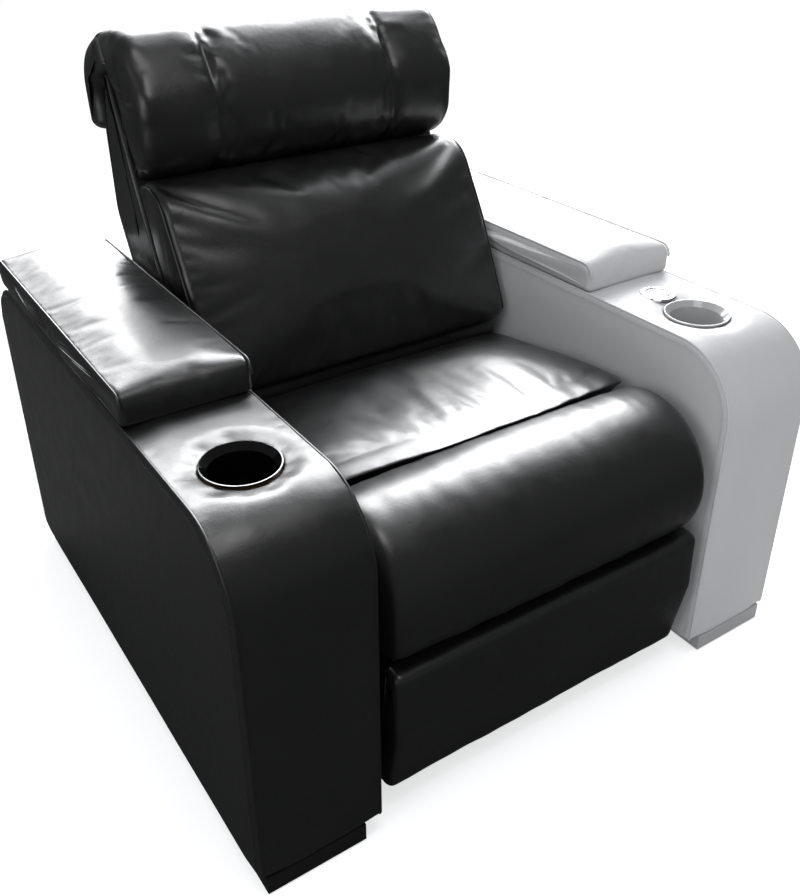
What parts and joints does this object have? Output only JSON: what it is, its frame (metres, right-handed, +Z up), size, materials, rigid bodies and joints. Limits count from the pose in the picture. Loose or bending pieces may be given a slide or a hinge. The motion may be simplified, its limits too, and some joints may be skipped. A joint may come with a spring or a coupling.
{
  "type": "cinema recliner seat",
  "caption": "Powered cinema recliner: two padded arms with cup holders, a seat with a legrest that swings up, and a reclining back with a head pillow.",
  "frame": {"origin": "on the floor, under the middle of the whole seat", "axes": "+X to the sitter's left, +Y to the rear, +Z up; the seat faces -Y"},
  "size_m": [1, 0.984, 0.9862],
  "materials": {
    "black_leather": "glossy corrected-grain leather, black",
    "pale_leather": "corrected-grain leather, pale grey",
    "plywood": "raw birch plywood",
    "plinth_wood": "black stained board",
    "cup_plastic": "glossy moulded plastic, black",
    "ring_metal": "satin chrome",
    "control_plastic": "moulded plastic, grey",
    "bright_steel": "zinc plated steel",
    "elastic_web": "woven elastic webbing",
    "nylon": "moulded nylon",
    "case_plastic": "moulded plastic, black",
    "frame_steel": "black powder coat"
  },
  "bodies": {
    "base": {"actuator_cross_tube": "frame_steel", "actuator_ears": "frame_steel", "actuator_pins": "bright_steel", "back_actuator": "case_plastic", "back_bushes": "nylon", "control_bezel": "ring_metal", "control_housing": "control_plastic", "control_pin": "bright_steel", "floor_feet": "frame_steel", "front_base_tube": "frame_steel", "left_arm_bolts": "bright_steel", "left_arm_cover": "pale_leather", "left_arm_frame": "plywood", "left_arm_glides": "nylon", "left_arm_plinth": "plinth_wood", "left_arm_spacers": "nylon", "left_armrest_pad": "pale_leather", "left_cup_holder": "cup_plastic", "left_floor_runner": "frame_steel", "left_side_plate": "frame_steel", "legrest_actuator": "case_plastic", "legrest_bushes": "nylon", "power_inlet": "case_plastic", "power_supply": "case_plastic", "rear_base_tube": "frame_steel", "right_arm_bolts": "bright_steel", "right_arm_cover": "black_leather", "right_arm_frame": "plywood", "right_arm_glides": "nylon", "right_arm_plinth": "plinth_wood", "right_arm_spacers": "nylon", "right_armrest_pad": "black_leather", "right_cup_holder": "cup_plastic", "right_floor_runner": "frame_steel", "right_side_plate": "frame_steel", "seat_cushion": "black_leather", "seat_front_rail": "frame_steel", "seat_rear_rail": "frame_steel", "seat_side_rails": "frame_steel", "seat_webbing": "elastic_web"},
    "legrest": {"legrest_shaft": "frame_steel", "legrest_roll": "black_leather", "legrest_panel": "black_leather", "legrest_board": "plywood", "legrest_brackets": "frame_steel", "legrest_cheeks": "plywood"},
    "back": {"back_tube": "frame_steel", "back_frame": "frame_steel", "back_brackets": "frame_steel", "back_webbing": "elastic_web", "back_shell": "black_leather", "back_cushion": "black_leather", "headrest_roll": "black_leather", "headrest_flap": "black_leather"},
    "legrest_rod": {"legrest_rod": "bright_steel"},
    "back_rod": {"back_rod": "bright_steel"},
    "rocker": {"control_rocker": "control_plastic"}
  },
  "joints": [
    {"name": "legrest_lift", "type": "hinge", "parent": "base", "child": "legrest", "pos_m": [0, -0.364, 0.357], "axis": [-1, 0, 0], "range_deg": [0, 80]},
    {"name": "back_recline", "type": "hinge", "parent": "base", "child": "back", "pos_m": [0, 0.112, 0.425], "axis": [-1, 0, 0], "range_deg": [0, 32]},
    {"name": "legrest_extend", "type": "slide", "parent": "base", "child": "legrest_rod", "axis": [0, -0.9781, 0.2079], "range_m": [0, 0.0956]},
    {"name": "back_retract", "type": "slide", "parent": "base", "child": "back_rod", "axis": [0, -0.9397, -0.342], "range_m": [0, 0.0548]},
    {"name": "rocker_tilt", "type": "hinge", "parent": "base", "child": "rocker", "pos_m": [0.405, -0.233, 0.558], "axis": [1, 0, 0], "range_deg": [-6, 6], "stiffness_Nm_per_rad": 0.4}
  ],
  "couplings": [
    {"joint": "legrest_extend", "follows": "legrest_lift", "m_per_rad": 0.0684},
    {"joint": "back_retract", "follows": "back_recline", "m_per_rad": 0.09792}
  ]
}
